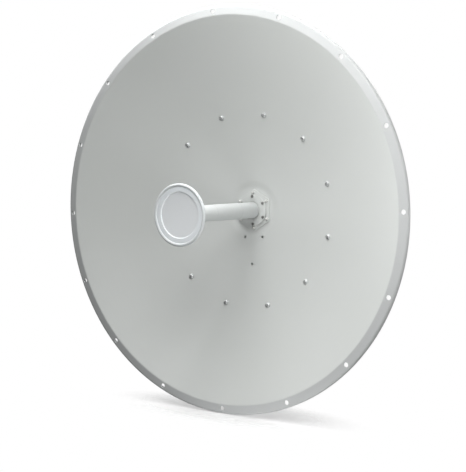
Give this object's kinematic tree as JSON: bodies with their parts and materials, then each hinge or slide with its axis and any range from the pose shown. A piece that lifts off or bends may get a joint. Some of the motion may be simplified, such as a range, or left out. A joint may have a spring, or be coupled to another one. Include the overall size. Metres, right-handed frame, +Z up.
{
  "type": "parabolic dish antenna",
  "caption": "Round parabolic reflector with a central tube feed and stepped sub-reflector disc, carried by a six-armed rear frame and a tilt bracket with a flat plate for a mast clamp.",
  "frame": {"origin": "centre of the mast plate's flat rear face, on the dish's axis", "axes": "+Y out of the mast plate towards the mast, so that the dish looks along -Y; +Z up; +X to the right as seen from in front of the dish looking along +Y"},
  "size_m": [1.0494, 0.421, 1.0494],
  "materials": {
    "reflector_paint": "pale grey powder coat, satin",
    "feed_plastic": "white moulded plastic",
    "feed_base_paint": "pale paint on cast metal",
    "frame_paint": "pale grey powder coat on pressed steel",
    "zinc_fastener": "bright zinc plate"
  },
  "bodies": {
    "root": {"reflector": "reflector_paint", "feed_base_plate": "feed_base_paint", "feed_collar": "feed_base_paint", "feed_tube": "feed_plastic", "feed_flare": "feed_plastic", "sub_reflector_disc": "feed_plastic", "frame_bolt_01": "zinc_fastener", "frame_bolt_02": "zinc_fastener", "frame_bolt_03": "zinc_fastener", "frame_bolt_04": "zinc_fastener", "frame_bolt_05": "zinc_fastener", "frame_bolt_06": "zinc_fastener", "frame_bolt_07": "zinc_fastener", "frame_bolt_08": "zinc_fastener", "frame_bolt_09": "zinc_fastener", "frame_bolt_10": "zinc_fastener", "frame_bolt_11": "zinc_fastener", "frame_bolt_12": "zinc_fastener", "frame_arm_1": "frame_paint", "frame_arm_2": "frame_paint", "frame_arm_3": "frame_paint", "frame_arm_4": "frame_paint", "frame_arm_5": "frame_paint", "frame_arm_6": "frame_paint", "hub_drum": "frame_paint", "hub_plate": "frame_paint", "tilt_bracket_left": "frame_paint", "tilt_bracket_right": "frame_paint", "mast_cheek_left": "frame_paint", "mast_cheek_right": "frame_paint", "mast_plate": "frame_paint", "pivot_bolt_left": "zinc_fastener", "pivot_bolt_right": "zinc_fastener", "lock_bolt_left": "zinc_fastener", "lock_bolt_right": "zinc_fastener"}
  },
  "joints": []
}
